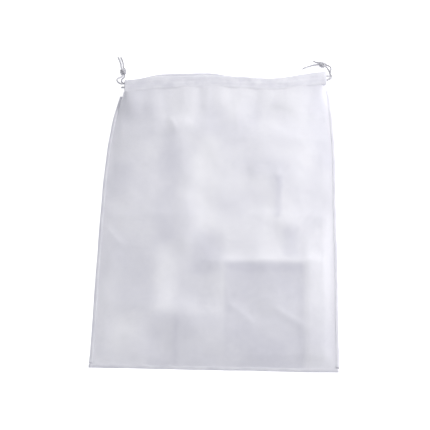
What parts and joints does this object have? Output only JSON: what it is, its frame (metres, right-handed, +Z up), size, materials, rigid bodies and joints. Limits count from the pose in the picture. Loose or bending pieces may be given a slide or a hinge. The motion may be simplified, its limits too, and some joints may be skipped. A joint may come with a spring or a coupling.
{
  "type": "mesh produce bag",
  "caption": "Flat white fine-mesh produce bag with sewn side and bottom seams and a casing at the mouth for knotted drawstrings.",
  "frame": {"origin": "on the table, under the middle of the bag as it lies flat", "axes": "+Y from the sewn bottom to the open mouth, +X to the right as seen from above the front panel, +Z up out of the table"},
  "size_m": [0.3, 0.4294, 0.0162],
  "materials": {
    "mesh_cloth": "matte",
    "hem_cloth": "matte",
    "thread": "matte",
    "cord": "matte"
  },
  "bodies": {
    "bag": {"front_panel": "mesh_cloth", "back_panel": "mesh_cloth", "left_side_seam": "hem_cloth", "left_seam_stitching": "thread", "right_side_seam": "hem_cloth", "right_seam_stitching": "thread", "bottom_seam": "hem_cloth", "bottom_seam_stitching": "thread", "front_casing": "hem_cloth", "front_casing_stitching": "thread", "front_casing_left_hem_stitching": "thread", "front_casing_right_hem_stitching": "thread", "back_casing": "hem_cloth", "back_casing_stitching": "thread", "back_casing_left_hem_stitching": "thread", "back_casing_right_hem_stitching": "thread"},
    "left_drawstring": {"left_drawstring": "cord", "left_drawstring_front_end": "cord", "left_drawstring_back_end": "cord", "left_drawstring_knot": "cord"},
    "right_drawstring": {"right_drawstring": "cord", "right_drawstring_front_end": "cord", "right_drawstring_back_end": "cord", "right_drawstring_knot": "cord"}
  },
  "joints": [
    {"name": "left_drawstring_pull", "type": "slide", "parent": "bag", "child": "left_drawstring", "axis": [-0.9986, -0.0523, 0], "range_m": [0, 0.07], "deforming": ["front_casing", "back_casing", "front_casing_right_hem_stitching", "back_casing_right_hem_stitching"]},
    {"name": "right_drawstring_pull", "type": "slide", "parent": "bag", "child": "right_drawstring", "axis": [0.9986, 0.0523, 0], "range_m": [0, 0.07], "deforming": ["front_casing", "back_casing", "front_casing_left_hem_stitching", "back_casing_left_hem_stitching"]}
  ]
}
